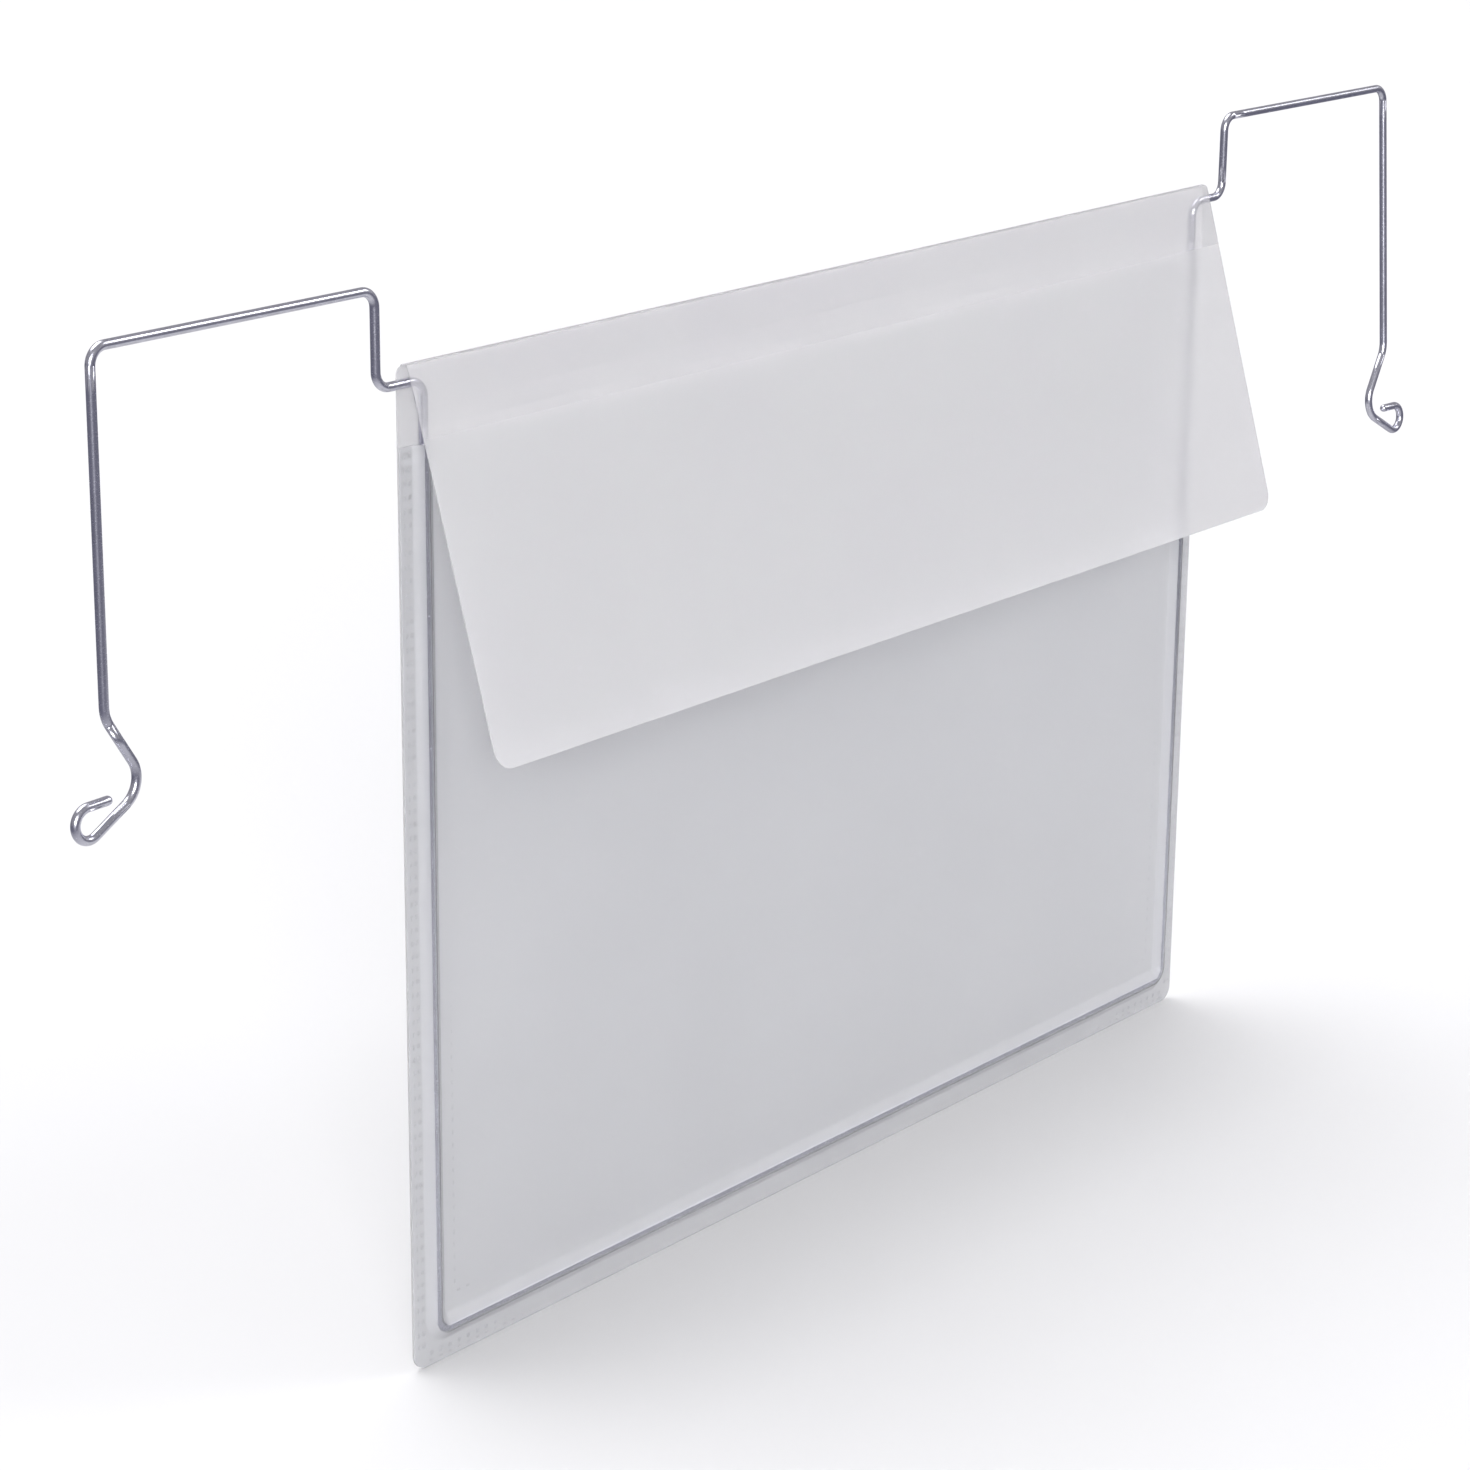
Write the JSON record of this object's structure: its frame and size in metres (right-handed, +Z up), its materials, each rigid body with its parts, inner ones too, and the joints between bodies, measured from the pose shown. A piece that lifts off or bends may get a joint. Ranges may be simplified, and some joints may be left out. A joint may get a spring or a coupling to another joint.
{
  "type": "hanging document pocket",
  "caption": "Frosted film document pocket with a folded rain flap, carried by a bent wire frame whose side hooks end in small curls.",
  "frame": {"origin": "centre of the back sheet's rear face, where the pocket lies against what it hangs on", "axes": "+Z up, +X to the right seen from the front, +Y to the back; the flap and the mouth face -Y"},
  "size_m": [0.5319, 0.0289, 0.2674],
  "materials": {
    "wire": "zinc plated, bright",
    "film": "frosted, translucent",
    "seam": "knurled heat seal"
  },
  "bodies": {
    "pocket": {"wire_hanger": "wire", "back_sheet": "film", "front_sheet": "film", "outer_seam_left": "seam", "outer_seam_right": "seam", "outer_seam_bottom": "seam", "inner_seam_left": "seam", "inner_seam_right": "seam", "inner_seam_bottom": "seam"},
    "flap": {"flap": "film"}
  },
  "joints": [
    {"name": "flap_fold", "type": "hinge", "parent": "pocket", "child": "flap", "pos_m": [0, -0.00015, 0.12345], "axis": [-1, 0, 0], "range_deg": [-7, 165], "stiffness_Nm_per_rad": 0.004, "springref_deg": 23.38}
  ]
}
